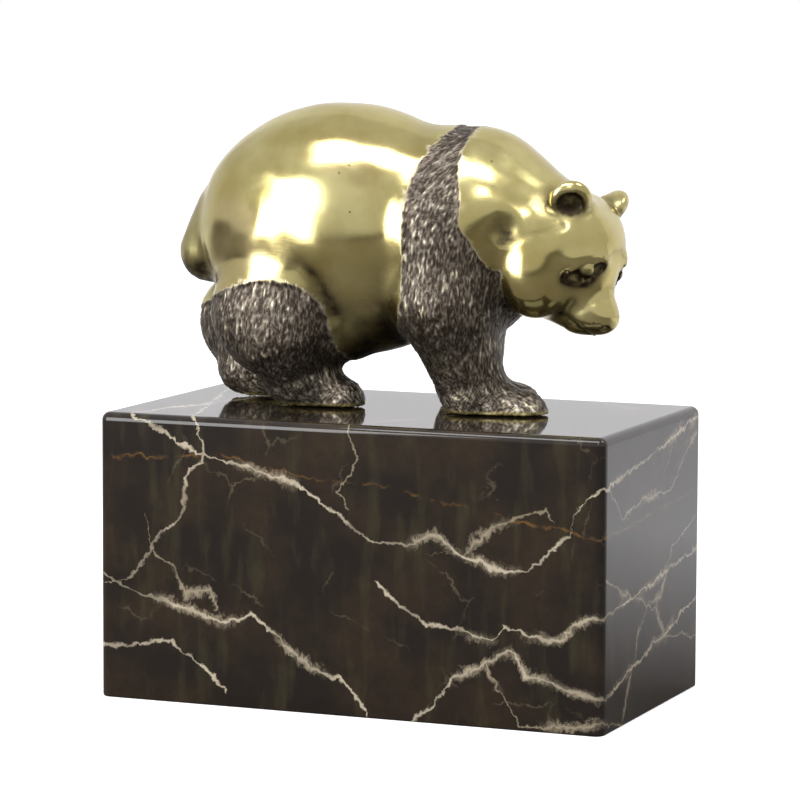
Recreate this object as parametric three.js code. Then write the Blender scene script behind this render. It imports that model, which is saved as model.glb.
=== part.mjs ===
// A giant panda in cast bronze, walking with its head low, on a block of dark veined marble.
// Millimetres, +Z up. The origin is the middle of the block's underside and the bear walks along +X.
import * as THREE from "three";
import { triTable } from "three/addons/objects/MarchingCubes.js";
import { mergeVertices } from "three/addons/utils/BufferGeometryUtils.js";

// Driving sizes of the block.
const plinthLength = 140;
const plinthDepth = 78;
const plinthHeight = 75.5;
const topEdgeRound = 2.2; // the polished roll round the top and down the corners
const footArris = 0.6; // the small flat that takes the sharpness off the lower edge
const roundSteps = 5;

// Driving sizes of the figure, and where it stands on the block.
const bearHeight = 80.1; // sole to the top of the back
const bearForward = 1; // the figure's own origin from the block's middle, along X and Y
const bearAside = 6;
const bearTurn = 2.5; // degrees that the walk swings away from the block's long side
const soleGap = 0.05; // the soles' clearance from the marble

// The figure is modelled at about its real size, and its skin is then brought to bearHeight exactly.
const cell = 1; // spacing of the sampling grid
const evenings = 4; // rounds of evening out the sampled triangles
const faceLimit = 9400; // triangles kept in the finished skin

// A field is a function of a point that is negative inside the form and grows with distance outside it.

function ball([cx, cy, cz], rx, ry = rx, rz = rx) {
  return (x, y, z) => {
    const ax = (x - cx) / rx;
    const ay = (y - cy) / ry;
    const az = (z - cz) / rz;
    const near = Math.hypot(ax, ay, az);
    const slope = Math.hypot(ax / rx, ay / ry, az / rz);
    return slope < 1e-9 ? -Math.min(rx, ry, rz) : (near * (near - 1)) / slope;
  };
}

// A limb is the skin round two balls and the straight taper between them.
function limb([ax, ay, az], ra, [bx, by, bz], rb) {
  const dx = bx - ax;
  const dy = by - ay;
  const dz = bz - az;
  const length2 = dx * dx + dy * dy + dz * dz;
  return (x, y, z) => {
    const along = ((x - ax) * dx + (y - ay) * dy + (z - az) * dz) / length2;
    const t = Math.min(1, Math.max(0, along));
    return Math.hypot(x - ax - t * dx, y - ay - t * dy, z - az - t * dz) - (ra + (rb - ra) * t);
  };
}

// The smaller of two distances, with the corner between them filled to a fillet about `soft` wide.
function soften(a, b, soft) {
  const h = Math.max(soft - Math.abs(a - b), 0) / soft;
  return Math.min(a, b) - (h * h * soft) / 4;
}

function joined(soft, first, ...others) {
  return (x, y, z) => {
    let d = first(x, y, z);
    for (const other of others) d = soften(d, other(x, y, z), soft);
    return d;
  };
}

const carved = (soft, body, tool) => (x, y, z) => -soften(-body(x, y, z), tool(x, y, z), soft);

// A field given in its own frame, placed by a matrix that turns and moves without stretching.
function placed(matrix, field) {
  const m = matrix.clone().invert().elements;
  return (x, y, z) =>
    field(
      m[0] * x + m[4] * y + m[8] * z + m[12],
      m[1] * x + m[5] * y + m[9] * z + m[13],
      m[2] * x + m[6] * y + m[10] * z + m[14],
    );
}

// A crease pressed into a form along a chain of points: a soft valley `wide` across and `deep` at its middle.
function creased(body, points, wide, deep) {
  const stretches = points.slice(1).map((p, i) => limb(points[i], 0, p, 0));
  return (x, y, z) => {
    let near = Infinity;
    for (const stretch of stretches) near = Math.min(near, stretch(x, y, z));
    return body(x, y, z) + deep * Math.exp(-((near / wide) ** 2));
  };
}

// Pitched nose down, then swung about the upright, then leant about the walk's direction, then moved.
function posed({ pitch = 0, swing = 0, lean = 0 }, [x, y, z]) {
  const { degToRad } = THREE.MathUtils;
  return new THREE.Matrix4()
    .makeTranslation(x, y, z)
    .multiply(new THREE.Matrix4().makeRotationX(degToRad(lean)))
    .multiply(new THREE.Matrix4().makeRotationZ(degToRad(swing)))
    .multiply(new THREE.Matrix4().makeRotationY(degToRad(pitch)));
}

// The head, in its own frame: +X to the nose, +Y to the bear's left, +Z to the brow.
function head() {
  const sides = [-1, 1];
  const skull = joined(
    5,
    ball([-2, 0, 0.5], 14.8, 15, 15),
    ...sides.map((s) => ball([-5.5, s * 6.5, 3], 11.5, 9.5, 11.5)),
    ...sides.map((s) => ball([-3, s * 8.5, -6], 12, 9.5, 11)),
    ...sides.map((s) => ball([4, s * 9.2, -8], 8.6, 7.2, 8)),
  );
  const muzzle = joined(
    2.5,
    limb([7, 0, -0.4], 8.6, [15.2, 0, 0.2], 6.6),
    ball([19.2, 0, 2.2], 3.1, 4.2, 3.2),
    limb([4, 0, -8.6], 7.2, [14.2, 0, -4.4], 4.6),
  );
  let face = joined(4, skull, muzzle);
  for (const s of sides) {
    face = joined(3, face, limb([4, s * 11.4, 5.4], 2.1, [5.4, s * 6, 10.3], 2));
    face = carved(1.2, face, limb([8.6, s * 13, 4.1], 1.8, [9.2, s * 7.6, 10.4], 1.8));
    face = joined(0.5, face, ball([7.3, s * 8.5, 6.8], 2.1));
    face = joined(1.5, face, limb([14.5, s * 5, -2.6], 1.6, [18, s * 3.4, -0.6], 2.2));
    face = carved(0.5, face, ball([21.8, s * 2.3, 2], 1, 0.8, 0.8));
  }
  const lips = [[12.9, 6.4, -5.6], [16.5, 5.4, -4.3], [19.6, 3.2, -2.4], [21, 0, -1.6]];
  const jowl = [[3.2, 14, -13], [4.6, 15.2, -9.6], [7.2, 14, -6.8], [9.4, 11.4, -5.4]];
  for (const s of sides) {
    const here = ([x, y, z]) => [x, s * y, z];
    face = creased(face, lips.map(here), 0.7, 0.7);
    face = creased(face, jowl.map(here), 1.3, 0.6);
  }
  const ears = sides.map((s) =>
    joined(
      1.5,
      limb([-10.4, s * 12.6, 11], 3, [-8, s * 9.5, 6], 4),
      placed(
        posed({ swing: s * 42, pitch: -6 }, [-9.6, s * 13.2, 12.3]),
        carved(0.8, ball([0, 0, 0], 3, 5.6, 5.6), ball([3.2, 0, -0.4], 3.6, 3.7, 3.7)),
      ),
    ),
  );
  return joined(1.2, face, ...ears);
}

const headPose = posed({ pitch: 60, swing: -7, lean: -8 }, [42.3, -1, 40.5]);

// The trunk: one long barrel, the shoulders, the chest, and the neck running out to the head.
function trunk() {
  return joined(
    12,
    ball([-19.3, 0, 46.6], 40.8, 25, 33.5),
    ball([16, 0, 48.5], 18.5, 19.5, 22.8),
    limb([20, 0, 54.4], 17, [36, -1, 46.5], 15.6),
    ball([18, 0, 34], 11, 14, 15),
  );
}

const tail = () => limb([-54.4, 0, 50.5], 7.4, [-58.4, 0, 39.6], 8.2);

// A hind leg: haunch, shank and the long foot. `s` is -1 for the bear's right.
function hindLeg(s, back, heel, hip) {
  return joined(
    4,
    ball([-34 - back, s * 13.5, hip], 18.5, 12, 16),
    limb([-32 - back, s * 11, 18], 14, [-28.5 - back - heel / 2, s * 8.5, 9], 9.2),
    ball([-20.5 - back, s * 8, 20.5], 10.5, 9, 9.5),
    limb([-33 - back - heel, s * 8, 7], 6.8, [-17.5 - back, s * 7.5, 1.8], 6.2),
  );
}

// A front leg from the shoulder blade to the toes.
function frontLeg(s, back) {
  return joined(
    4,
    limb([10 - back / 2, s * 11, 48], 13, [12.5 - back / 2, s * 12.5, 29], 12.8),
    limb([12.5 - back / 2, s * 12.5, 29], 12.8, [18.5 - back, s * 8, 8], 9.6),
    limb([20 - back, s * 8, 1.8], 8, [32.6 - back, s * 7.5, -0.2], 7.1),
  );
}

function bear() {
  const legs = joined(
    4,
    hindLeg(-1, 0, 0, 24.5),
    hindLeg(1, 14.3, 5, 19.5),
    frontLeg(-1, 0),
    frontLeg(1, 6.5),
  );
  const body = joined(2.5, joined(5, trunk(), legs), tail());
  const whole = joined(1.6, body, placed(headPose, head()));
  const pits = [-1, 1].map((s) => ball([30.5, s * 20.4, 49.6], 3, 3, 3.4));
  return carved(0.8, carved(2.5, whole, joined(1, ...pits)), (x, y, z) => z);
}

// Samples a field on a grid from `low` to `high` and returns its skin, by marching cubes.
function skinOf(field, low, high) {
  const [nx, ny, nz] = low.map((a, axis) => Math.ceil((high[axis] - a) / cell) + 1);
  const at = (i, j, k) => (k * ny + j) * nx + i;
  const values = new Float64Array(nx * ny * nz);
  for (let k = 0; k < nz; k++)
    for (let j = 0; j < ny; j++)
      for (let i = 0; i < nx; i++)
        values[at(i, j, k)] = field(low[0] + i * cell, low[1] + j * cell, low[2] + k * cell);

  const corners = [[0, 0, 0], [1, 0, 0], [1, 1, 0], [0, 1, 0], [0, 0, 1], [1, 0, 1], [1, 1, 1], [0, 1, 1]];
  const edges = [[0, 1], [1, 2], [3, 2], [0, 3], [4, 5], [5, 6], [7, 6], [4, 7], [0, 4], [1, 5], [2, 6], [3, 7]];
  const vertexOf = new Map();
  const points = [];
  const triangles = [];
  const cut = (edge, i, j, k) => {
    const [a, b] = edges[edge].map((corner) => corners[corner].map((n, axis) => n + [i, j, k][axis]));
    const axis = a.findIndex((n, m) => n !== b[m]);
    const key = at(...a) * 3 + axis;
    if (!vertexOf.has(key)) {
      const [va, vb] = [values[at(...a)], values[at(...b)]];
      const t = va / (va - vb);
      vertexOf.set(key, points.length);
      points.push(a.map((n, m) => low[m] + cell * (n + t * (b[m] - n))));
    }
    return vertexOf.get(key);
  };
  for (let k = 0; k + 1 < nz; k++)
    for (let j = 0; j + 1 < ny; j++)
      for (let i = 0; i + 1 < nx; i++) {
        let kind = 0;
        corners.forEach(([a, b, c], corner) => {
          if (values[at(i + a, j + b, k + c)] > 0) kind |= 1 << corner;
        });
        for (let n = kind * 16; triTable[n] !== -1; n += 3) {
          triangles.push([0, 1, 2].map((m) => cut(triTable[n + m], i, j, k)));
        }
      }
  return { points, triangles };
}

// Draws each vertex onto the skin itself, along the field's slope.
function settle({ points }, field) {
  const step = cell / 20;
  const reach = cell / 2;
  for (const p of points) {
    const [x, y, z] = p;
    const d = field(x, y, z);
    const slope = [
      field(x + step, y, z) - field(x - step, y, z),
      field(x, y + step, z) - field(x, y - step, z),
      field(x, y, z + step) - field(x, y, z - step),
    ].map((n) => n / (2 * step));
    const size2 = slope.reduce((s, n) => s + n * n, 1e-9);
    const move = Math.min(reach, Math.max(-reach, d / Math.sqrt(size2))) / Math.sqrt(size2);
    slope.forEach((n, axis) => (p[axis] -= n * move));
  }
}

// Moves each vertex to the middle of its neighbours, which evens out the triangles.
function relax({ points, triangles }) {
  const sums = points.map(() => [0, 0, 0, 0]);
  for (const t of triangles)
    t.forEach((v, i) => {
      const next = points[t[(i + 1) % 3]];
      for (let axis = 0; axis < 3; axis++) sums[v][axis] += next[axis];
      sums[v][3]++;
    });
  points.forEach((p, v) => {
    for (let axis = 0; axis < 3; axis++) p[axis] = sums[v][axis] / sums[v][3];
  });
}

// Merges neighbouring vertices where that changes the form least, until `limit` triangles are left.
function thinned({ points, triangles }, limit) {
  const sub = (a, b) => [a[0] - b[0], a[1] - b[1], a[2] - b[2]];
  const cross = (a, b) => [a[1] * b[2] - a[2] * b[1], a[2] * b[0] - a[0] * b[2], a[0] * b[1] - a[1] * b[0]];
  const dot = (a, b) => a[0] * b[0] + a[1] * b[1] + a[2] * b[2];
  const facing = (a, b, c) => cross(sub(b, a), sub(c, a));
  const faces = triangles.map((t) => [...t]);
  const facesOf = points.map(() => new Set());
  const errorOf = points.map(() => new Float64Array(10));
  faces.forEach((t, f) => {
    const n = facing(...t.map((v) => points[v]));
    const area = Math.hypot(...n) || 1e-12;
    const [a, b, c] = n.map((m) => m / area);
    const d = -dot([a, b, c], points[t[0]]);
    const q = [a * a, a * b, a * c, a * d, b * b, b * c, b * d, c * c, c * d, d * d];
    for (const v of t) {
      facesOf[v].add(f);
      q.forEach((m, i) => (errorOf[v][i] += m * area));
    }
  });
  const cost = (q, [x, y, z]) =>
    q[0] * x * x + 2 * q[1] * x * y + 2 * q[2] * x * z + 2 * q[3] * x + q[4] * y * y +
    2 * q[5] * y * z + 2 * q[6] * y + q[7] * z * z + 2 * q[8] * z + q[9];
  const best = (q, a, b) => {
    const middle = a.map((n, i) => (n + b[i]) / 2);
    const m = new THREE.Matrix3().set(q[0], q[1], q[2], q[1], q[4], q[5], q[2], q[5], q[7]);
    const scale = (q[0] + q[4] + q[7]) / 3;
    if (Math.abs(m.determinant()) > 1e-4 * scale ** 3) {
      const p = new THREE.Vector3(-q[3], -q[6], -q[8]).applyMatrix3(m.invert()).toArray();
      if (Math.hypot(...sub(p, middle)) < 1.5 * Math.hypot(...sub(a, b))) return p;
    }
    return middle;
  };
  const heap = [];
  const push = (item) => {
    let i = heap.push(item) - 1;
    while (i && heap[(i - 1) >> 1].price > item.price) {
      heap[i] = heap[(i - 1) >> 1];
      i = (i - 1) >> 1;
    }
    heap[i] = item;
  };
  const pop = () => {
    const top = heap[0];
    const last = heap.pop();
    if (!heap.length) return top;
    let i = 0;
    for (let child = 1; child < heap.length; child = 2 * i + 1) {
      if (child + 1 < heap.length && heap[child + 1].price < heap[child].price) child++;
      if (heap[child].price >= last.price) break;
      heap[i] = heap[child];
      i = child;
    }
    heap[i] = last;
    return top;
  };
  const version = points.map(() => 0);
  const offer = (a, b) => {
    const q = errorOf[a].map((n, i) => n + errorOf[b][i]);
    const spot = best(q, points[a], points[b]);
    const length2 = dot(sub(points[a], points[b]), sub(points[a], points[b]));
    push({ a, b, spot, price: cost(q, spot) + 2e-5 * length2 ** 2, stamp: version[a] + version[b] });
  };
  const around = (v) => {
    const found = new Set();
    for (const f of facesOf[v]) for (const w of faces[f]) if (w !== v) found.add(w);
    return found;
  };
  points.forEach((_, v) => {
    for (const w of around(v)) if (v < w) offer(v, w);
  });
  let left = faces.length;
  while (left > limit && heap.length) {
    const { a, b, spot, stamp } = pop();
    if (!facesOf[a].size || !facesOf[b].size || version[a] + version[b] !== stamp) continue;
    const shared = [...facesOf[a]].filter((f) => facesOf[b].has(f));
    const nearB = around(b);
    if (shared.length !== 2 || [...around(a)].filter((v) => nearB.has(v)).length !== 2) continue;
    const turns = [a, b].some((v) =>
      [...facesOf[v]].some((f) => {
        if (shared.includes(f)) return false;
        const before = faces[f].map((w) => points[w]);
        const after = faces[f].map((w, i) => (w === v ? spot : before[i]));
        const [n, m] = [facing(...before), facing(...after)];
        const sides = [0, 1, 2].map((i) => Math.hypot(...sub(after[i], after[(i + 1) % 3])));
        const thin = Math.hypot(...m) < 0.15 * Math.max(...sides) ** 2;
        return thin || dot(n, m) < 0.5 * Math.hypot(...n) * Math.hypot(...m);
      }),
    );
    if (turns) continue;
    for (const f of shared) {
      for (const v of faces[f]) facesOf[v].delete(f);
      faces[f] = null;
    }
    for (const f of facesOf[b]) {
      faces[f][faces[f].indexOf(b)] = a;
      facesOf[a].add(f);
    }
    facesOf[b].clear();
    points[a] = spot;
    errorOf[a] = errorOf[a].map((n, i) => n + errorOf[b][i]);
    version[a] += version[b] + 1;
    left -= 2;
    for (const v of around(a)) offer(a, v);
  }
  return { points, triangles: faces.filter(Boolean) };
}

function geometryOf({ points, triangles }) {
  const geometry = new THREE.BufferGeometry()
    .setAttribute("position", new THREE.Float32BufferAttribute(points.flat(), 3))
    .setIndex(triangles.flat());
  const used = mergeVertices(geometry.toNonIndexed(), 1e-4);
  used.computeVertexNormals();
  return used;
}

// The block is a stack of rounded outlines: a small flat at the foot, upright sides, and a polished roll at the top.
function block() {
  const turns = Array.from({ length: roundSteps + 1 }, (_, i) => (i / roundSteps) * (Math.PI / 2));
  const levels = [
    [footArris, 0],
    [0, footArris],
    ...turns.map((t) => [topEdgeRound * (1 - Math.cos(t)), plinthHeight - topEdgeRound * (1 - Math.sin(t))]),
  ];
  const cornerRound = topEdgeRound * 1.2;
  const quarters = [[1, 1], [-1, 1], [-1, -1], [1, -1]];
  const outline = ([inset, z]) =>
    quarters.flatMap(([sx, sy], quarter) =>
      turns.map((t) => {
        const angle = t + (quarter * Math.PI) / 2;
        const round = cornerRound - inset;
        return [
          sx * (plinthLength / 2 - cornerRound) + round * Math.cos(angle),
          sy * (plinthDepth / 2 - cornerRound) + round * Math.sin(angle),
          z,
        ];
      }),
    );
  const rings = levels.map(outline);
  const across = rings[0].length;
  const points = rings.flat();
  const triangles = [];
  for (let level = 0; level + 1 < rings.length; level++)
    for (let i = 0; i < across; i++) {
      const a = level * across + i;
      const b = level * across + ((i + 1) % across);
      triangles.push([a, b, b + across], [a, b + across, a + across]);
    }
  const top = (rings.length - 1) * across;
  for (let i = 1; i + 1 < across; i++) triangles.push([0, i + 1, i], [top, top + i, top + i + 1]);
  return { points, triangles };
}

const figure = bear();
const sampled = skinOf(figure, [-74.3, -38.3, -2.6], [70, 38, 84]);
for (let round = 0; round < evenings; round++) {
  relax(sampled);
  settle(sampled, figure);
}

const bronze = new THREE.MeshStandardMaterial({ color: 0xb9a25a, roughness: 0.25, metalness: 1 });
const marble = new THREE.MeshStandardMaterial({ color: 0x39332d, roughness: 0.12, metalness: 0 });

const panda = new THREE.Mesh(geometryOf(thinned(sampled, faceLimit)), bronze);
panda.name = "bear";
const stance = new THREE.Group();
stance.position.set(bearForward, bearAside, plinthHeight + soleGap);
stance.rotation.z = THREE.MathUtils.degToRad(bearTurn);
panda.geometry.computeBoundingBox();
stance.scale.setScalar(bearHeight / panda.geometry.boundingBox.getSize(new THREE.Vector3()).z);
stance.add(panda);

const plinth = new THREE.Mesh(geometryOf(block()), marble);
plinth.name = "plinth";

const sculpture = new THREE.Group();
sculpture.add(plinth, stance);

export default sculpture;
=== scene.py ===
# %% [markdown]
# A small cast bronze of a giant panda, walking with its head low, on a polished block of dark marble.
# The bronze is bright where it was buffed and dark where the legs were chiselled as fur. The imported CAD
# model gives the size and place of both pieces, so it is loaded first and everything is fitted to it.

# %% Load the frame
import math

import bpy
import numpy as np
from mathutils import Matrix, Vector, kdtree, noise


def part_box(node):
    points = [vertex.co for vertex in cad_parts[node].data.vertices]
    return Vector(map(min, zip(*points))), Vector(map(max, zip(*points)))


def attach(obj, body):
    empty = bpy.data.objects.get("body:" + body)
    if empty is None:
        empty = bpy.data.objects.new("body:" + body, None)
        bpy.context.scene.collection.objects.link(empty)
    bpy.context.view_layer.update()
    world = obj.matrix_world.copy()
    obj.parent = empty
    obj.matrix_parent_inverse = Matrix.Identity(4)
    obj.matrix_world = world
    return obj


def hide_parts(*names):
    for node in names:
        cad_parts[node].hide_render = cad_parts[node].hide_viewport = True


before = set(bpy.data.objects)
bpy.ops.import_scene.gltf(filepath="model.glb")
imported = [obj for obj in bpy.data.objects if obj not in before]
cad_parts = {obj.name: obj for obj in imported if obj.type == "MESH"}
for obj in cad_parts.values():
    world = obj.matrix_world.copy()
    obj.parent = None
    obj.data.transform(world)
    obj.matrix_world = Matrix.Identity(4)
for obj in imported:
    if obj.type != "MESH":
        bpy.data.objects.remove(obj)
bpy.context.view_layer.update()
MM = 0.001
block_low, block_high = [np.array(corner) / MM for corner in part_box("plinth")]
print("marble block, mm:", np.round(block_high - block_low, 1))

# %% [markdown]
# Colours are written as the hex values that a colour picker gives, and Blender's nodes work in linear light,
# so one function turns one into the other. A second one adds a node with its settings and links.


# %% Small helpers
def linear(hex_colour):
    channels = [int(hex_colour[i : i + 2], 16) / 255 for i in (1, 3, 5)]
    return [c / 12.92 if c <= 0.04045 else ((c + 0.055) / 1.055) ** 2.4 for c in channels] + [1.0]


def add_node(tree, kind, settings=None, **inputs):
    node = tree.nodes.new(kind)
    for name, value in (settings or {}).items():
        setattr(node, name, value)
    for name, value in inputs.items():
        key = int(name[1:]) if name[0] == "i" and name[1:].isdigit() else name.replace("_", " ")
        if isinstance(value, bpy.types.NodeSocket):
            tree.links.new(value, node.inputs[key])
        else:
            node.inputs[key].default_value = value
    return node


def new_material(name):
    material = bpy.data.materials.new(name)
    material.use_nodes = True
    tree = material.node_tree
    return material, tree, tree.nodes["Principled BSDF"]


print("white in linear light:", linear("#FFFFFF"))

# %% [markdown]
# The bear is modelled as its sculptor built it up: balls of clay for the barrel, the haunches and the skull,
# rolls of clay for the limbs, and every joint smoothed over. In mathematics each lump is a distance field,
# and smoothing over is a soft minimum. The sizes are the CAD part's own, in millimetres, in the walk's frame:
# +X ahead, +Y to the bear's left, +Z up from the soles.


# %% Lumps of clay
def ball(centre, rx, ry=None, rz=None):
    radii = np.array([rx, ry or rx, rz or rx], float)

    def field(p):
        a = (p - centre) / radii
        near = np.linalg.norm(a, axis=1)
        slope = np.maximum(np.linalg.norm(a / radii, axis=1), 1e-9)
        return near * (near - 1) / slope

    return field


def limb(a, ra, b, rb):
    a, b = np.array(a, float), np.array(b, float)

    def field(p):
        t = np.clip((p - a) @ (b - a) / ((b - a) @ (b - a)), 0, 1)
        return np.linalg.norm(p - a - t[:, None] * (b - a), axis=1) - (ra + (rb - ra) * t)

    return field


def soften(a, b, soft):
    return np.minimum(a, b) - np.maximum(soft - np.abs(a - b), 0) ** 2 / (4 * soft)


def joined(soft, first, *others):
    def field(p):
        d = first(p)
        for other in others:
            d = soften(d, other(p), soft)
        return d

    return field


def carved(soft, body, tool):
    return lambda p: -soften(-body(p), tool(p), soft)


def line_distance(points, p):
    return np.min([limb(a, 0, b, 0)(p) for a, b in zip(points, points[1:])], axis=0)


def creased(body, points, wide, deep):
    return lambda p: body(p) + deep * np.exp(-((line_distance(points, p) / wide) ** 2))


def posed(centre, pitch=0, swing=0, lean=0):
    turn = (
        Matrix.Rotation(math.radians(lean), 3, "X")
        @ Matrix.Rotation(math.radians(swing), 3, "Z")
        @ Matrix.Rotation(math.radians(pitch), 3, "Y")
    )
    return np.array(turn), np.array(centre, float)


def into(pose, p):
    turn, centre = pose
    return (p - centre) @ turn


def placed(pose, field):
    return lambda p: field(into(pose, p))


sample = np.array([[12.0, 0.0, 0.0]])
print("distance from a 10 mm ball to a point 12 mm from its centre:", ball((0, 0, 0), 10)(sample))

# %% [markdown]
# The head is built in its own frame, with +X to the nose, +Y to the bear's left and +Z to the brow, so that
# the two sides come out alike whatever way the head is turned.


# %% The head
def rope(points, radius):
    return lambda p: line_distance(points, p) - radius


def near_only(centre, radius, field):
    def culled(p):
        gap = np.linalg.norm(p - np.array(centre), axis=1) - radius
        d = gap + 8
        near = gap < 0
        d[near] = field(p[near])
        return d

    return culled


def mirrored(points, side):
    return [(x, side * y, z) for x, y, z in points]


def head_form():
    skull = joined(
        5,
        ball((-2, 0, 0.5), 14.8, 15, 15),
        *[ball((-5.5, s * 6.5, 3), 11.5, 9.5, 11.5) for s in (-1, 1)],
        *[ball((-3, s * 8.5, -6), 12, 9.5, 11) for s in (-1, 1)],
        *[ball((4, s * 9.2, -8), 8.6, 7.2, 8) for s in (-1, 1)],
    )
    muzzle = joined(
        2.5,
        limb((7, 0, -0.4), 8.6, (15.2, 0, 0.2), 6.6),
        ball((19.2, 0, 2.2), 3.1, 4.2, 3.2),
        limb((4, 0, -8.6), 7.2, (14.2, 0, -4.4), 4.6),
    )
    face = joined(4, skull, muzzle)
    lips = [(12.9, 6.4, -5.6), (16.5, 5.4, -4.3), (19.6, 3.2, -2.4), (21, 0, -1.6)]
    jowl = [(3.2, 14, -13), (4.6, 15.2, -9.6), (7.2, 14, -6.8), (9.4, 11.4, -5.4)]
    upper_lid = [(6.8, 13.6, 2.2), (5.7, 12, 6.6), (5.9, 8.6, 10.4), (7.4, 5.8, 11.4)]
    lower_lid = [(8.2, 13.3, 1.4), (10.4, 11, 2.8), (11.2, 8.2, 5.8), (9.2, 6, 10.2)]
    wrinkle = [(4.6, 9.6, 9.4), (4.4, 7.4, 11.4), (5.2, 5.4, 12.4)]
    under_eye = [(10.6, 13, 0.6), (12, 10.6, 2.6), (12.6, 8, 5)]
    below_ear = [(-9, 15, -5), (-6.3, 15.4, -1.2), (-5.6, 15.2, 3.3), (-5.4, 14.4, 7.4)]
    for s in (-1, 1):
        face = joined(3, face, limb((4, s * 11.4, 5.4), 2.1, (5.4, s * 6, 10.3), 2))
        face = carved(1, face, limb((8.4, s * 13.4, 2.2), 1.2, (8.8, s * 6.8, 10.4), 1.4))
        face = carved(0.8, face, ball((10.2, s * 9.8, 6.4), 2.9))
        face = joined(0.4, face, ball((7.1, s * 9.2, 6.6), 2.4))
        face = joined(0.5, face, rope(mirrored(upper_lid, s), 0.75), rope(mirrored(lower_lid, s), 0.5))
        face = joined(1.5, face, limb((14.5, s * 5, -2.6), 1.6, (18, s * 3.4, -0.6), 2.2))
        face = carved(0.5, face, ball((21.8, s * 2.3, 2), 1.1, 0.9, 0.9))
    for s in (-1, 1):
        face = creased(face, mirrored(lips, s), 0.5, 0.8)
        face = creased(face, mirrored(wrinkle, s), 0.45, 0.35)
        face = creased(face, mirrored(under_eye, s), 0.4, 0.14)
        face = creased(face, mirrored(jowl, s), 1.3, 0.6)
        face = creased(face, mirrored(below_ear, s), 0.9, 0.45)
    ears = [
        joined(
            1.5,
            limb((-10.4, s * 12.6, 11), 3, (-8, s * 9.5, 6), 4),
            placed(
                posed((-9.6, s * 13.2, 12.3), swing=s * 42, pitch=-6),
                carved(0.8, ball((0, 0, 0), 3, 5.6, 5.6), ball((3.2, 0, -0.4), 3.6, 3.7, 3.7)),
            ),
        )
        for s in (-1, 1)
    ]
    return joined(1.2, face, *ears)


head_pose = posed((42.3, -1, 40.5), pitch=60, swing=-7, lean=-8)
print("head centre in the walk's frame, mm:", head_pose[1])

# %% [markdown]
# The barrel, the shoulders and the neck are one soft trunk. Two hind legs and two front legs are caught in
# mid-stride, so those on the bear's left stand further back. Creases then mark the groin and the haunch.


# %% The body and legs
far_leg_back = 14.3


def hind_leg(s, back, heel, hip):
    return joined(
        4,
        ball((-34 - back, s * 13.5, hip), 18.5, 12, 16),
        limb((-32 - back, s * 11, 18), 14, (-28.5 - back - heel / 2, s * 8.5, 9), 9.2),
        ball((-20.5 - back, s * 8, 20.5), 10.5, 9, 9.5),
        limb((-33 - back - heel, s * 8, 7), 6.8, (-17.5 - back, s * 7.5, 1.8), 6.2),
    )


def front_leg(s, back):
    return joined(
        4,
        limb((10 - back / 2, s * 11, 48), 13, (12.5 - back / 2, s * 12.5, 29), 12.8),
        limb((12.5 - back / 2, s * 12.5, 29), 12.8, (18.5 - back, s * 8, 8), 9.6),
        limb((20 - back, s * 8, 1.8), 8, (32.6 - back, s * 7.5, -0.2), 7.1),
    )


def bear_form():
    trunk = joined(
        12,
        ball((-19.3, 0, 46.6), 40.8, 25, 33.5),
        ball((16, 0, 48.5), 18.5, 19.5, 22.8),
        limb((20, 0, 54.4), 17, (36, -1, 46.5), 15.6),
        ball((18, 0, 34), 11, 14, 15),
    )
    hind_legs = (hind_leg(-1, 0, 0, 24.5), hind_leg(1, far_leg_back, 5, 19.5))
    legs = joined(4, *hind_legs, front_leg(-1, 0), front_leg(1, 6.5))
    tail = limb((-54.4, 0, 50.5), 7.4, (-58.4, 0, 39.6), 8.2)
    body = joined(2.5, joined(5, trunk, legs), tail)
    for s in (-1, 1):
        groin = [(-24, s * 24.5, 38), (-20, s * 23.6, 34), (-17.5, s * 22, 29), (-16.1, s * 20.3, 25)]
        body = creased(body, groin, 2.4, 0.9)
        haunch = [(-34, s * 25, 57), (-28, s * 25.4, 43)]
        body = creased(body, haunch, 2.6, 0.45)
    return body


body_form = bear_form()
head_only = near_only(head_pose[1], 36, placed(head_pose, head_form()))
pit_centres = [np.array((30.6, s * 20.7, 49.2)) for s in (-1, 1)]
pits = joined(1, *[ball(centre, 2.4, 2.6, 3) for centre in pit_centres])
whole = carved(3.5, joined(1.6, body_form, head_only), pits)
neck_line = [
    (29.4, 17.9, 45.5), (32.8, 17.8, 46.1), (36.5, 17.6, 47.5), (41.4, 16.9, 48.9), (45.3, 15.8, 50.2),
]
for side in (-1, 1):
    whole = creased(whole, mirrored(neck_line, side), 0.8, 0.22)
form = carved(0.8, whole, lambda p: p[:, 2])
sole_height = 75.55
walk = posed((1, 6, sole_height), swing=2.5)
print("the soles stand at, mm:", sole_height)

# %% [markdown]
# The CAD casting has only a few thousand triangles, which a mirror polish would show as flats. So a copy of
# it is merged, remeshed to even quads, divided again where there is fur or a face to carve, and every vertex
# is then drawn onto the exact form. The coarse edge keeps the whole piece under 200,000 triangles.


# %% A fine skin over the casting
def select_only(obj):
    bpy.ops.object.select_all(action="DESELECT")
    obj.select_set(True)
    bpy.context.view_layer.objects.active = obj


def vertices_of(obj):
    flat = np.empty(len(obj.data.vertices) * 3)
    obj.data.vertices.foreach_get("co", flat)
    return flat.reshape(-1, 3) / MM


def move_vertices(obj, p):
    obj.data.vertices.foreach_set("co", (p * MM).ravel())
    obj.data.update()


def slope_of(field, p, step=0.05):
    offsets = np.eye(3) * step
    return np.stack([(field(p + o) - field(p - o)) / (2 * step) for o in offsets], axis=1)


def unit(v):
    return v / np.maximum(np.linalg.norm(v, axis=1, keepdims=True), 1e-9)


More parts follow.
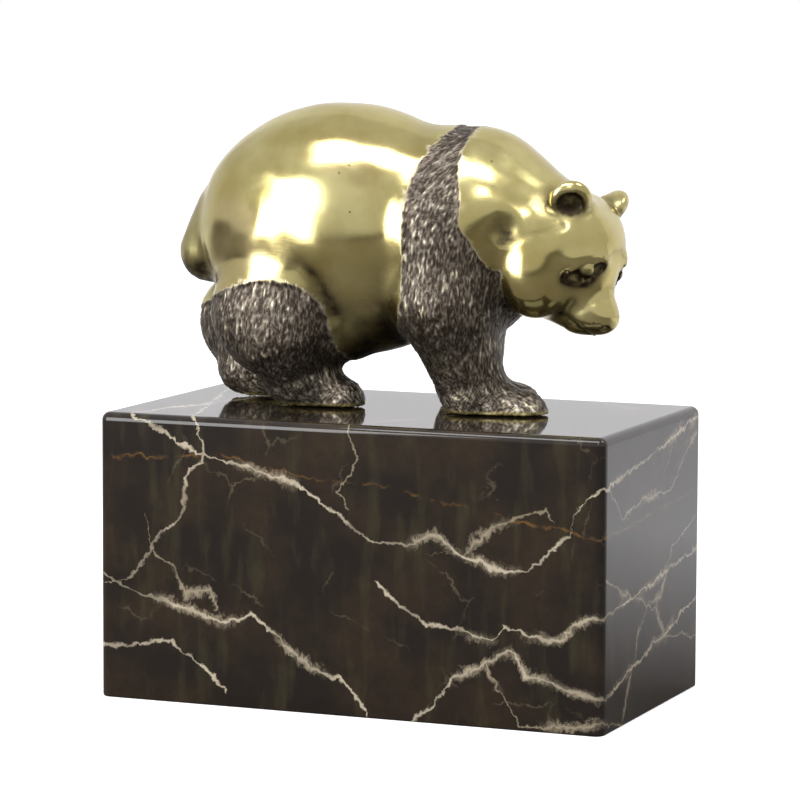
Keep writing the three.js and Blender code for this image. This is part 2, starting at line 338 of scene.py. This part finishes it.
def draw_onto(field, p, rounds=2, reach=0.6):
    for _ in range(rounds):
        slope = slope_of(field, p)
        size = np.maximum(np.linalg.norm(slope, axis=1), 0.2)
        p = p - slope / size[:, None] * np.clip(field(p) / size, -reach, reach)[:, None]
    return p


def divide_where(obj, wanted):
    p = into(walk, vertices_of(obj))
    chosen = wanted(p)
    obj.data.vertices.foreach_set("select", chosen)
    for part in (obj.data.edges, obj.data.polygons):
        for element in part:
            element.select = all(chosen[v] for v in element.vertices)
    bpy.context.tool_settings.mesh_select_mode = (False, False, True)
    bpy.ops.object.mode_set(mode="EDIT")
    bpy.ops.mesh.subdivide(number_cuts=1)
    bpy.ops.object.mode_set(mode="OBJECT")
    print("divided into", len(obj.data.polygons), "faces")


casting = bpy.data.objects.new("bear_casting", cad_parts["bear"].data.copy())
bpy.context.collection.objects.link(casting)
select_only(casting)
casting.data.materials.clear()
bpy.ops.object.mode_set(mode="EDIT")
bpy.ops.mesh.select_all(action="SELECT")
same_point = 0.01
bpy.ops.mesh.remove_doubles(threshold=same_point * MM)
bpy.ops.object.mode_set(mode="OBJECT")
remesh = casting.modifiers.new("even quads", "REMESH")
remesh.mode = "VOXEL"
coarse_edge = 1.89
fine_edge = coarse_edge / 4
remesh.voxel_size = coarse_edge * MM
bpy.ops.object.modifier_apply(modifier=remesh.name)
print("even quads:", len(casting.data.polygons))

# %% [markdown]
# The fur covers a band over the shoulders, the legs and the chest. The border of the band is measured as X
# against height, and that of the thigh as height against X. The far hind leg stands further back and lower,
# so its border moves with it. The head is told from the body by asking which form a point lies nearer to.


# %% Where the fur is
def wander(p, wide):
    return np.array([noise.noise(Vector(q)) for q in p / wide])


def fur_depth(p):
    x, y, z = p.T
    rear = np.interp(z, [0, 24, 31, 46, 52, 59, 65, 70, 74], [-8, 2.6, 4.4, 4.4, 4.6, 5, 6.6, 9.4, 12.4])
    front_z = [36, 38.5, 41, 45.5, 50, 56, 63, 69, 74]
    front = np.interp(z, front_z, [60, 26.5, 24.5, 22.2, 19.3, 19.4, 18, 17.7, 18.6])
    band = np.minimum(x - rear, front - x)
    back, hip = np.where(y > 0, far_leg_back, 0), np.where(y > 0, -5, 0)
    thigh_x = [-60, -54, -47.5, -40, -34, -27.4, -22.2, -19.1, -17.4, -16, -14]
    thigh_z = [25, 27.5, 30.4, 33.2, 34.3, 34.0, 32.0, 28.6, 24.6, 15.5, 12.5]
    thigh = np.maximum(np.interp(x + back, thigh_x, thigh_z) + hip, 12.5) - z
    thigh = np.where(x > -2, -5, thigh)
    on_body = head_only(p) - body_form(p) + 0.4
    return np.minimum(np.maximum(band, thigh) + 0.5 * wander(p, 1.8), on_body)


def on_head(p):
    return head_only(p) < body_form(p) + 1.5


def near_crease(p):
    lines = [mirrored(neck_line, s) for s in (-1, 1)]
    lines += [[(-24, s * 24.5, 38), (-17.5, s * 22, 29), (-16.1, s * 20.3, 25)] for s in (-1, 1)]
    return np.min([line_distance(line, p) for line in lines], axis=0) < 4


def fine_place(p):
    return (fur_depth(p) > -2) | on_head(p) | near_crease(p)


def finer_place(p):
    return (fur_depth(p) > -0.7) | face_place(p)


def eye_place(p):
    f, side, up = into(head_pose, p).T
    return on_head(p) & (np.abs(f - 8.5) < 4.5) & (np.abs(np.abs(side) - 9.7) < 4.8) & (np.abs(up - 6.3) < 6)


def face_place(p):
    f, side, up = into(head_pose, p).T
    eyes = (np.abs(f - 8) < 6) & (np.abs(np.abs(side) - 9.5) < 6) & (np.abs(up - 6.5) < 7.5)
    nose = (f > 15) & (up < 6)
    ears = (f < -4) & (np.abs(side) > 7) & (up > 7)
    return on_head(p) & (eyes | nose | ears)


for place_for_detail in (fine_place, finer_place, eye_place):
    divide_where(casting, place_for_detail)
skin = draw_onto(form, into(walk, vertices_of(casting)))
print("skin:", len(skin), "vertices,", sum(len(f.vertices) - 2 for f in casting.data.polygons), "triangles")

# %% [markdown]
# A hand-finished casting is never quite true. A faint wander of a tenth of a millimetre over ten is what
# breaks up the reflections of the lights, so it is part of the shape and not only of the finish.

# %% The hand-finished surface
broad_dent, small_dent = 0.3, 0.07
normals = unit(slope_of(form, skin, 0.15))
depth_in_fur = fur_depth(skin)
fur = np.clip(depth_in_fur / 0.5 + 0.9, 0, 1)
bare = (1 - fur) * ~on_head(skin)
dents = wander(skin, 11) * broad_dent + wander(skin + 40, 5) * small_dent
skin = skin + normals * (dents * bare)[:, None]
print("dents, mm:", np.round([dents.min(), dents.max()], 2))

# %% [markdown]
# The fur is chiselled: short grooves, three to five millimetres long and shorter on the feet, laid along the
# way the hair lies. Each groove is a seed point with a direction, and a vertex sinks by the deepest groove
# that passes over it.


# %% Chisel the fur
hip_back = 34
fan_per_mm = 0.018
half_lengths = (1.4, 2.6)
half_widths = (0.28, 0.46)
strengths = (0.55, 1.0)
stray = 0.2


def hair_way(p):
    x, y, z = p.T
    lean = np.interp(z, [0, 8, 20, 45, 60, 75], [1.3, 0.5, 0.12, -0.05, -0.45, -0.9])
    from_hip = x + hip_back + np.where(y > 0, far_leg_back, 0)
    fan_out = from_hip * fan_per_mm + np.interp(z, [0, 7, 14], [1.1, 0.4, 0])
    return np.stack([np.where(x < -4, fan_out, lean), np.zeros_like(x), -np.ones_like(x)], axis=1)


furry = np.where(depth_in_fur > -0.4)[0]
rng = np.random.default_rng(7)
seed_spacing = 0.72
seed_count = int(len(furry) * fine_edge**2 / seed_spacing**2)
seeds = rng.choice(furry, seed_count, replace=False)
way = hair_way(skin[seeds]) + rng.normal(0, stray, (seed_count, 3))
way = unit(way - (way * normals[seeds]).sum(1, keepdims=True) * normals[seeds])
foot = np.interp(skin[seeds][:, 2], [2, 12], [0.55, 1])
half_length = rng.uniform(*half_lengths, seed_count) * foot
half_width = rng.uniform(*half_widths, seed_count)
strength = rng.uniform(*strengths, seed_count)

seed_tree = kdtree.KDTree(seed_count)
for n, v in enumerate(seeds):
    seed_tree.insert(skin[v], n)
seed_tree.balance()
near_count = 20
near = np.array([[hit[1] for hit in seed_tree.find_n(skin[v], near_count)] for v in furry])
offset = skin[furry][:, None, :] - skin[seeds][near]
along = (offset * way[near]).sum(2)
across = np.linalg.norm(offset - along[..., None] * way[near], axis=2)
taper = np.clip(1 - (along / half_length[near]) ** 2, 0, 1)
groove = strength[near] * taper * np.exp(-((across / half_width[near]) ** 2))
cut = np.zeros(len(skin))
cut[furry] = groove.max(axis=1)
groove_depth = 0.5
step_down = 0.15
sink = np.clip((depth_in_fur - 0.15) / 0.9, 0, 1) * (cut * groove_depth + step_down)
skin = skin - normals * sink[:, None]
print("chisel strokes:", seed_count)

# %% [markdown]
# What the finish needs to know is kept on the mesh: where the fur is, how deep each stroke is cut, and how
# sheltered a place is. Patina stays in sheltered places because no buffing wheel reaches them. A place is
# sheltered when a point a few millimetres out from it is nearer to the form than it should be. Faces that
# look down are darkened as well, strongly on the body and faintly on the head; that is painted shade, partly
# patina, and it is kept in the same layer. The last one is a place combed out along the hair, so that a
# pattern on it runs in fine lines with the strokes.

# %% Keep what the finish needs to know
shelter = np.zeros(len(skin))
for height, share in ((1.2, 0.5), (3.5, 0.5), (8, 0.35)):
    shelter += share * np.clip(1 - form(skin + normals * height) / height, 0, 1)
# Painted shade, partly patina: a face that looks down is darkened, much less on the head than on the body.
underside_patina_and_shade = np.clip((-normals[:, 2] - 0.1) / 0.6, 0, 1) * np.where(on_head(skin), 0.15, 0.8)
patina_and_shade = (shelter - 0.1) * 1.4 + underside_patina_and_shade


def stained(distance, wide, amount):
    return amount * np.exp(-((distance / wide) ** 2))


in_head = into(head_pose, skin)
for side in (-1, 1):
    eye_line = mirrored([(8, 13.2, 1.8), (9, 9.4, 6), (8.4, 6.4, 10.8)], side)
    patina_and_shade += stained(line_distance(eye_line, in_head), 2, 0.32)
    patina_and_shade += stained(np.linalg.norm(in_head - np.array((8.6, side * 10.4, 6.4)), axis=1), 2.4, 0.5)
    cup = np.array((-8.2, side * 14.4, 12.2))
    patina_and_shade += stained(np.linalg.norm(in_head - cup, axis=1), 3.2, 1.2)
    ear_root = mirrored([(-12, 12, 8), (-8, 15, 6), (-4, 13, 9)], side)
    patina_and_shade += stained(line_distance(ear_root, in_head), 1.5, 0.5)
    patina_and_shade += stained(line_distance(mirrored(neck_line, side), skin), 0.9, 0.3)
    patina_and_shade += stained(np.linalg.norm(skin - mirrored([(30.6, 18, 48.6)], side)[0], axis=1), 3, 0.8)
    groin = mirrored([(-21, 24, 36), (-17.5, 22.5, 29), (-15, 21, 22)], side)
    patina_and_shade += stained(line_distance(groin, skin), 3.6, 0.55)
patina_and_shade += stained(limb((-55, 0, 50), 7, (-59.5, 0, 39.6), 8.2)(skin).clip(0), 1.2, 0.55)
patina_and_shade = np.clip(patina_and_shade, 0, 1)
x, y, z = skin.T
lean_sum = np.interp(z, [0, 8, 20, 45, 60, 75], [-21.9, -14.7, -10.9, -10.1, -13.8, -23.9])
hip_x = -hip_back - np.where(y > 0, far_leg_back, 0)
across_hair = np.where(x < -4, (x - hip_x) * np.exp(fan_per_mm * z), x + lean_sum)
combed = np.stack([across_hair, y, 0.17 * z], axis=1)
turn, centre = walk
move_vertices(casting, skin @ turn.T + centre)
casting.data.polygons.foreach_set("use_smooth", np.ones(len(casting.data.polygons), bool))


def keep(name, values):
    layer = casting.data.attributes.new(name, "FLOAT", "POINT")
    layer.data.foreach_set("value", values)


keep("fur", fur)
keep("cut", cut * fur)
# This layer holds the patina of the hollows together with the painted shade on the undersides.
keep("patina_and_shade", patina_and_shade)
keep("sole", np.clip((1.5 - z) / 1.0, 0, 1))
layer = casting.data.attributes.new("combed", "FLOAT_VECTOR", "POINT")
layer.data.foreach_set("vector", combed.ravel())
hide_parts("bear")
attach(casting, "root")
print("kept on the mesh: fur, cut, patina, sole, combed")

# %% [markdown]
# The metal is a yellow bronze, close to brass, sand cast and then finished by hand. Where the wheel reached
# it is bright, with faint brush lines, dull clouds and a few casting pits. Where it did not, a brown
# patina is left, and the same brown is laid on the undersides as painted shade. The chiselled fur was
# patinated all over and rubbed back, so only its ridges glint.

# %% Bronze
bronze, tree, shader = new_material("buffed and chiselled bronze")


def attribute(name, output="Fac"):
    return add_node(tree, "ShaderNodeAttribute", {"attribute_name": name}).outputs[output]


def blend(factor, low, high):
    node = add_node(tree, "ShaderNodeMix", {"data_type": "RGBA"}, i0=factor, i6=low, i7=high)
    return node.outputs[2]


def ramp(value, start, end, low=0.0, high=1.0):
    node = add_node(tree, "ShaderNodeMapRange", i0=value, i1=start, i2=end, i3=low, i4=high)
    return node.outputs[0]


def sums(operation, a, b):
    return add_node(tree, "ShaderNodeMath", {"operation": operation}, i0=a, i1=b).outputs[0]


def per_mm(size):
    return 1 / (size * MM)


fur_mask = attribute("fur")
cut_mask = attribute("cut")
patina_and_shade_mask = attribute("patina_and_shade")
sole_mask = attribute("sole")
place = add_node(tree, "ShaderNodeTexCoord").outputs["Object"]
hair_place = attribute("combed", "Vector")

cloud = add_node(tree, "ShaderNodeTexNoise", Vector=place, Scale=per_mm(14), Detail=4.0).outputs["Fac"]
blush = add_node(tree, "ShaderNodeTexNoise", Vector=place, Scale=per_mm(30), Detail=2.0).outputs["Fac"]
buffed = blend(ramp(cloud, 0.35, 0.65), linear("#BBAC6E"), linear("#D0C58C"))
buffed = blend(ramp(blush, 0.55, 0.75, 0, 0.5), buffed, linear("#CDB592"))
pit_cells = add_node(tree, "ShaderNodeTexVoronoi", Vector=place, Scale=per_mm(5)).outputs["Distance"]
pit = ramp(pit_cells, 0.035, 0.06, 1, 0)
buffed = blend(sums("MULTIPLY", pit, ramp(cloud, 0.5, 0.56)), buffed, linear("#54451F"))
smoke = add_node(tree, "ShaderNodeTexNoise", Vector=place, Scale=per_mm(3.5), Detail=5.0).outputs["Fac"]
# Painted shade: the patina layer also darkens the undersides, so this brown is partly patina and partly
# shade.
stain_and_shade = sums("MULTIPLY", patina_and_shade_mask, ramp(smoke, 0.3, 0.6, 0.7, 1.1))
buffed = blend(stain_and_shade, buffed, linear("#40372A"))

strand = add_node(tree, "ShaderNodeTexNoise", Vector=hair_place, Scale=1 / 1.1, Detail=3.0).outputs["Fac"]
ridge = sums("MULTIPLY", ramp(cut_mask, 0.1, 0.6, 1, 0), ramp(strand, 0.36, 0.56))
hair = blend(ridge, linear("#A59B8C"), linear("#F0E8D2"))
hair = blend(ramp(cut_mask, 0.3, 0.85), hair, linear("#3A3027"))
rubbed = add_node(tree, "ShaderNodeTexNoise", Vector=place, Scale=per_mm(9), Detail=3.0).outputs["Fac"]
hair = blend(sums("MULTIPLY", ridge, ramp(rubbed, 0.48, 0.62, 0, 0.85)), hair, linear("#EBDA94"))
# The same layer lays patina and the painted underside shade over the fur.
hair = blend(sums("MULTIPLY", patina_and_shade_mask, 0.4), hair, linear("#3A322A"))
hair = blend(sole_mask, hair, linear("#C4B470"))

tree.links.new(blend(fur_mask, buffed, hair), shader.inputs["Base Color"])
dull = sums("ADD", ramp(cloud, 0.4, 0.7, 0.13, 0.24), sums("MULTIPLY", stain_and_shade, 0.3))
rough = add_node(tree, "ShaderNodeMix", i0=fur_mask, i2=dull, i3=0.43).outputs[0]
tree.links.new(rough, shader.inputs["Roughness"])
tree.links.new(ramp(fur_mask, 0.0, 1.0, 1.0, 0.7), shader.inputs["Metallic"])

brush_place = add_node(tree, "ShaderNodeMapping", Vector=place, Scale=(0.12, 1, 1)).outputs[0]
brush = add_node(tree, "ShaderNodeTexNoise", Vector=brush_place, Scale=per_mm(0.5), Detail=2.0).outputs["Fac"]
skin_bump = add_node(tree, "ShaderNodeBump", Height=brush, Strength=0.12, Distance=0.05 * MM)
hair_bump = add_node(
    tree, "ShaderNodeBump", Height=strand, Strength=fur_mask, Distance=0.35 * MM, Normal=skin_bump.outputs[0]
)
tree.links.new(hair_bump.outputs[0], shader.inputs["Normal"])
casting.data.materials.append(bronze)
print("bronze nodes:", len(tree.nodes))

# %% [markdown]
# The block is sawn marble with rounded and polished edges. A cube of the measured size is given its three
# radii by bevelling the upright edges first, then the top, then the foot.

# %% The block
bpy.ops.object.select_all(action="DESELECT")
bpy.ops.mesh.primitive_cube_add(size=1, location=(block_low + block_high) / 2 * MM)
block = bpy.context.object
block.name = "block"
block.scale = (block_high - block_low) * MM
bpy.ops.object.transform_apply(location=True, rotation=False, scale=True)


def round_edges(wanted, radius, steps):
    bpy.ops.object.mode_set(mode="OBJECT")
    for part in (block.data.vertices, block.data.edges, block.data.polygons):
        part.foreach_set("select", np.zeros(len(part), bool))
    for edge in block.data.edges:
        ends = [np.array(block.data.vertices[v].co) / MM for v in edge.vertices]
        edge.select = bool(wanted(*ends))
    bpy.context.tool_settings.mesh_select_mode = (False, True, False)
    bpy.ops.object.mode_set(mode="EDIT")
    bpy.ops.mesh.bevel(offset=radius * MM, segments=steps, affect="EDGES")
    bpy.ops.object.mode_set(mode="OBJECT")


corner_round = 2.64
top_round = 2.2
foot_round = 0.6
near_top = block_high[2] - 0.01
near_foot = block_low[2] + 0.01
round_edges(lambda a, b: abs(a[2] - b[2]) > 1, corner_round, 8)
round_edges(lambda a, b: min(a[2], b[2]) > near_top, top_round, 8)
round_edges(lambda a, b: max(a[2], b[2]) < near_foot, foot_round, 3)
block.data.polygons.foreach_set("use_smooth", np.ones(len(block.data.polygons), bool))
select_only(block)
weighted = block.modifiers.new("true flats", "WEIGHTED_NORMAL")
weighted.keep_sharp = False
bpy.ops.object.modifier_apply(modifier=weighted.name)
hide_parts("plinth")
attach(block, "root")
print("block faces:", len(block.data.polygons))

# %% [markdown]
# The stone is a dark brown limestone, cracked long ago and healed with pale calcite. Each crack is a wavy
# sheet through the block, so it is drawn as a height against X, measured on the front face, that tilts as it
# runs back. Three cracks are drawn the same way on the right end and fade a short way in. Noise bends the
# sheet so that it wanders like lightning, and a feather of fine threads grows beside it in places.
# Because it is a sheet, a vein turns every corner by itself.

# %% Marble
marble, tree, shader = new_material("polished dark marble")
block_place = add_node(tree, "ShaderNodeTexCoord").outputs["Object"]
in_mm = {"operation": "SCALE"}
mm_place = add_node(tree, "ShaderNodeVectorMath", in_mm, i0=block_place, Scale=1000.0).outputs[0]


def noise_of(vector, wide, detail=4.0, output="Fac", rough=0.5):
    return add_node(
        tree, "ShaderNodeTexNoise", Vector=vector, Scale=1 / wide, Detail=detail, Roughness=rough
    ).outputs[output]


def warped(vector, wide, reach, detail=4.0):
    wind = noise_of(vector, wide, detail, "Color", 0.6)
    middle = add_node(tree, "ShaderNodeVectorMath", {"operation": "SUBTRACT"}, i0=wind, i1=(0.5, 0.5, 0.5))
    scaled = add_node(tree, "ShaderNodeVectorMath", {"operation": "SCALE"}, i0=middle.outputs[0], Scale=reach)
    moved = add_node(tree, "ShaderNodeVectorMath", {"operation": "ADD"}, i0=vector, i1=scaled.outputs[0])
    return moved.outputs[0]


jagged = warped(warped(mm_place, 9, 5), 2.2, 2.6, 3.0)
axes = add_node(tree, "ShaderNodeSeparateXYZ", Vector=jagged).outputs
front_face = -39.0
end_face = 70.0
depth_in = sums("SUBTRACT", axes[1], front_face)


def sheet(points, tilt, along=axes[0], rise=axes[2], run=None):
    low, high = points[0][0], points[-1][0]
    curve = add_node(tree, "ShaderNodeFloatCurve", Value=ramp_open(along, low, high))
    line = curve.mapping.curves[0]
    curve.mapping.use_clip = False
    shares = [((a - low) / (high - low), b / 100) for a, b in points]
    line.points[0].location = shares[0]
    line.points[1].location = shares[-1]
    for share in shares[1:-1]:
        line.points.new(*share)
    for point in line.points:
        point.handle_type = "VECTOR"
    curve.mapping.update()
    height = sums("MULTIPLY", curve.outputs[0], 100.0)
    tilted = sums("ADD", height, sums("MULTIPLY", run or depth_in, tilt))
    distance = sums("ABSOLUTE", sums("SUBTRACT", rise, tilted), 0.0)
    before = ramp(along, low, low + 3, 0.0 if low <= -70 else 9.0, 0.0)
    beyond = ramp(along, high - 3, high, 0.0, 0.0 if high >= 70 else 9.0)
    return sums("ADD", distance, sums("ADD", before, beyond))


def ramp_open(value, start, end):
    node = add_node(tree, "ShaderNodeMapRange", {"clamp": False}, i0=value, i1=start, i2=end, i3=0.0, i4=1.0)
    return node.outputs[0]


shoulder_vein = [
    (-70, 80), (-45, 68), (-33, 64), (-22, 62), (-12, 59), (-5, 54), (1, 50), (9, 46), (17, 46),
    (24, 49), (32, 44), (40, 41), (49, 41), (54, 44), (58, 48), (61, 50), (62, 56), (65, 60), (70, 62),
]
loop_vein = [(30, 40), (34, 46), (40, 51), (46, 54), (55, 57), (60, 50)]
low_left_vein = [
    (-70, 33), (-60, 29), (-49, 27), (-44, 25), (-35, 22), (-26, 25), (-21, 21), (-15, 16), (-9, 12),
    (-1, 9), (6, 3), (10, -5),
]
hook_vein = [(-60, 60), (-54, 39), (-48, 36), (-45, 29), (-38, 30), (-33, 20)]
foot_vein = [(-70, 14), (-59, 15), (-49, 16), (-43, 13), (-35, 6), (-30, 0)]
belly_vein = [
    (6, 36), (12, 33), (16, 30), (22, 26), (30, 25), (36, 23), (41, 23), (44, 27), (51, 24), (59, 24),
    (62, 28), (70, 30),
]
arch_vein = [(14, -4), (19, 1), (24, 4), (30, 12), (36, 15), (45, 20), (50, 15), (60, 12), (70, 9)]
root_vein = [(36, 22), (41, 14), (45, 6), (48, 1), (62, 2), (70, 4)]
rust_vein = [
    (-70, 64), (-57, 64), (-44, 66), (-34, 66), (-11, 61), (2, 61), (12, 60), (22, 58), (70, 50),
]
upright_vein = [
    (24, -80), (30, -70), (32, -61), (39, -55), (44, -53), (47, -49), (52, -45), (59, -45), (64, -41),
    (68, -40), (76, -43),
]
top_thread = [(50, 1), (59, -2), (64, 2), (68, 3), (76, -1)]
end_vein = [(-39, 66), (-33, 60), (-25, 54), (-8, 57), (12, 56), (22, 62), (39, 70)]
end_fall = [(-39, -20), (-16, 12), (-12, 21), (-4, 29), (6, 29), (15, 40), (38, 47)]
end_foot = [(-39, 40), (3, 26), (11, 18), (38, 14)]

cracks = [sheet(shoulder_vein, 0.14), sheet(low_left_vein, -0.2)]
cracks += [sheet(belly_vein, 0.1), sheet(arch_vein, 0.2)]
cracks += [sheet(upright_vein, -0.3, along=axes[2], rise=axes[0]), sheet(foot_vein, 0.3)]
threads = [sheet(loop_vein, 0.3), sheet(hook_vein, 0.2), sheet(root_vein, -0.3)]
threads += [sheet(top_thread, 0.6, along=axes[2], rise=axes[0])]
end_depth = sums("SUBTRACT", end_face, axes[0])
end_only = ramp(end_depth, 4, 14)
for points in (end_vein, end_fall, end_foot):
    cut_off = sheet(points, 0.3, along=axes[1], run=end_depth)
    threads.append(sums("ADD", cut_off, sums("MULTIPLY", end_only, 50.0)))


def nearest(distances):
    least = distances[0]
    for other in distances[1:]:
        least = sums("MINIMUM", least, other)
    return least


crack = nearest(cracks)
thread = nearest(threads)
swell = noise_of(mm_place, 6, 2.0)
crack_core = ramp(sums("DIVIDE", crack, ramp(swell, 0.3, 0.7, 0.28, 0.85)), 0.3, 1.0, 0.95, 0.0)
crack_core = sums("MULTIPLY", crack_core, ramp(noise_of(mm_place, 11, 3.0), 0.36, 0.6, 0.4, 1.0))
thread_core = ramp(thread, 0.1, 0.4, 0.6, 0.0)
feather_spots = [
    (-22, 62), (25, 49), (40, 46), (61, 27), (36, 16), (50, 16), (-45, 27), (-13, 15), (-36, 28), (62, 5),
]
spots = []
for across_face, up_face in feather_spots:
    spot = (across_face, front_face, up_face)
    away = add_node(tree, "ShaderNodeVectorMath", {"operation": "DISTANCE"}, i0=mm_place, i1=spot)
    spots.append(away.outputs["Value"])
patches = ramp(nearest(spots), 4, 10, 1.0, 0.0)
behind = sums("MULTIPLY", ramp(noise_of(mm_place, 15, 2.0), 0.52, 0.64), ramp(depth_in, 3, 12))
patches = sums("MAXIMUM", patches, behind)
hair_stretch = add_node(tree, "ShaderNodeMapping", Vector=jagged, Scale=(1.3, 1.3, 0.5)).outputs[0]
feather_noise = noise_of(hair_stretch, 1.1, 6.0, rough=0.85)
feather_reach = ramp(nearest([crack, thread]), 0.0, 5.5, 1.0, 0.0)
feather = sums("MULTIPLY", ramp(sums("MULTIPLY", feather_noise, feather_reach), 0.34, 0.46), patches)
web_cells = add_node(
    tree, "ShaderNodeTexVoronoi", {"feature": "DISTANCE_TO_EDGE"}, Vector=warped(jagged, 12, 9), Scale=1 / 24
).outputs["Distance"]
web_line = ramp(web_cells, 0.002, 0.014, 1.0, 0.0)
web = sums("MULTIPLY", web_line, ramp(noise_of(mm_place, 19, 2.0), 0.52, 0.66, 0, 0.3))

streak_place = add_node(tree, "ShaderNodeMapping", Vector=mm_place, Scale=(1, 1, 0.2)).outputs[0]
stone = blend(ramp(noise_of(mm_place, 17, 5.0), 0.42, 0.7), linear("#1F1915"), linear("#33281C"))
stone = blend(ramp(noise_of(streak_place, 5, 4.0), 0.52, 0.75, 0, 0.55), stone, linear("#44402A"))
stone = blend(ramp(noise_of(mm_place, 2.5, 6.0), 0.3, 0.7, 0, 0.3), stone, linear("#15110E"))
rust = ramp(sheet(rust_vein, 0.05), 0.1, 0.45, 0.55, 0.0)
stone = blend(sums("MULTIPLY", rust, ramp(swell, 0.35, 0.55)), stone, linear("#7E5A2E"))
stone = blend(web, stone, linear("#8A7D66"))
stone = blend(sums("MULTIPLY", feather, 0.8), stone, linear("#978B76"))
stone = blend(thread_core, stone, linear("#A2967F"))
stone = blend(crack_core, stone, linear("#BDB19B"))
tree.links.new(stone, shader.inputs["Base Color"])
shader.inputs["Roughness"].default_value = 0.06
block.data.materials.append(marble)
print("marble nodes:", len(tree.nodes))

# %% [markdown]
# The piece stands on white paper that sweeps up behind it. The paper glows a little, as paper lit from behind
# does, so that it stays white and still takes a soft shadow. To every ray but the camera's, the floor before
# and under the piece is grey and turns white behind it, a painted shade that darkens what the metal reflects.

# %% Paper sweep
def paper(name, tone, glow):
    sheet_of_paper, paper_tree, paper_shader = new_material(name)
    paper_shader.inputs["Base Color"].default_value = linear(tone)
    paper_shader.inputs["Roughness"].default_value = 0.9
    paper_shader.inputs["Specular IOR Level"].default_value = 0.1
    paper_shader.inputs["Emission Color"].default_value = linear("#FFFFFF")
    paper_shader.inputs["Emission Strength"].default_value = glow
    return sheet_of_paper, paper_tree, paper_shader


def paper_plane(name, size, place, turn_up, sheet_of_paper):
    bpy.ops.object.select_all(action="DESELECT")
    bpy.ops.mesh.primitive_plane_add(size=size, location=place, rotation=(turn_up, 0, 0))
    plane = bpy.context.object
    plane.name = name
    bpy.ops.object.transform_apply(location=True, rotation=True, scale=False)
    plane.data.materials.append(sheet_of_paper)
    return plane


floor_paper, paper_tree, floor_shader = paper("white floor paper", "#F2F1F3", 0.45)
floor_axes = add_node(paper_tree, "ShaderNodeTexCoord").outputs["Object"]
floor_y = add_node(paper_tree, "ShaderNodeSeparateXYZ", Vector=floor_axes).outputs["Y"]
far_floor = add_node(paper_tree, "ShaderNodeMapRange", i0=floor_y, i1=0.02, i2=0.3, i3=0.0, i4=1.0).outputs[0]
# Painted shade: rays other than the camera's see this floor grey near the piece, so the metal's lower sides
# reflect dark.
near_tone, far_tone = linear("#777370"), linear("#F2F1F3")
colour_mix = {"data_type": "RGBA"}
bounce_tone = add_node(paper_tree, "ShaderNodeMix", colour_mix, i0=far_floor, i6=near_tone, i7=far_tone)
grey_bounce = add_node(paper_tree, "ShaderNodeBsdfDiffuse", Color=bounce_tone.outputs[2])
seen_straight = add_node(paper_tree, "ShaderNodeLightPath").outputs["Is Camera Ray"]
either = add_node(
    paper_tree, "ShaderNodeMixShader", i0=seen_straight, i1=grey_bounce.outputs[0], i2=floor_shader.outputs[0]
)
paper_tree.links.new(either.outputs[0], paper_tree.nodes["Material Output"].inputs["Surface"])
paper_plane("paper_floor", 8, (0, -0.5, 0), 0, floor_paper)
wall_paper = paper("white back paper", "#F2F1F3", 0.3)[0]
wall = paper_plane("paper_wall", 8, (0, 3.5, 3.99), math.radians(90), wall_paper)
wall.visible_camera = False
print("paper:", floor_paper.name, "and", wall_paper.name)

# %% [markdown]
# The camera is the one that took the photograph, found from the seven corners of the block that show. It is
# a long lens about a metre away, a little above the block.

# %% Camera
camera_place = (395.97 * MM, -976.01 * MM, 200.18 * MM)
camera_axes = Matrix(((0.9262, -0.0472, 0.3741), (0.377, 0.1054, -0.9202), (0.004, 0.9933, 0.1154)))
camera = bpy.data.objects.new("camera", bpy.data.cameras.new("camera"))
bpy.context.collection.objects.link(camera)
camera.matrix_world = Matrix.Translation(camera_place) @ camera_axes.to_4x4()
camera.data.sensor_width = 36
camera.data.lens = 180.88
camera.data.clip_start = 0.01
bpy.context.scene.camera = camera
print("lens, mm:", round(camera.data.lens, 2))

# %% [markdown]
# Four soft boxes make the bright patches on the metal: a tall one on the left, a wide one overhead, a small
# one in front and one on the right. White air fills the rest, and the camera sees it as pure white.


# %% Lights
def softbox(name, direction, distance, wide, high, watts, target=(0, 0, 0.12)):
    light = bpy.data.lights.new(name, "AREA")
    light.shape = "RECTANGLE"
    light.size, light.size_y, light.energy = wide, high, watts
    box = bpy.data.objects.new(name, light)
    bpy.context.collection.objects.link(box)
    way_out = Vector(direction).normalized()
    box.location = Vector(target) + way_out * distance
    box.rotation_euler = way_out.to_track_quat("Z", "Y").to_euler()


softbox("left box", (-0.57, -0.79, 0.14), 1.0, 0.5, 0.8, 8)
softbox("high box", (0.02, -0.48, 0.87), 1.0, 0.9, 0.34, 6)
softbox("front box", (0.34, -0.78, 0.52), 1.2, 0.22, 0.22, 1.2)
softbox("right box", (0.62, 0.1, 0.75), 1.2, 0.36, 0.36, 2.6)
world = bpy.data.worlds.new("studio")
bpy.context.scene.world = world
world.use_nodes = True
air = world.node_tree
background = air.nodes["Background"]
ray_kind = add_node(air, "ShaderNodeLightPath").outputs["Is Camera Ray"]
seen = add_node(air, "ShaderNodeMapRange", i0=ray_kind, i1=0.0, i2=1.0, i3=0.72, i4=1.0).outputs[0]
air.links.new(seen, background.inputs["Strength"])
background.inputs["Color"].default_value = linear("#FFFFFF")
bpy.context.scene.view_settings.view_transform = "Standard"
print("lights:", len(bpy.data.lights))
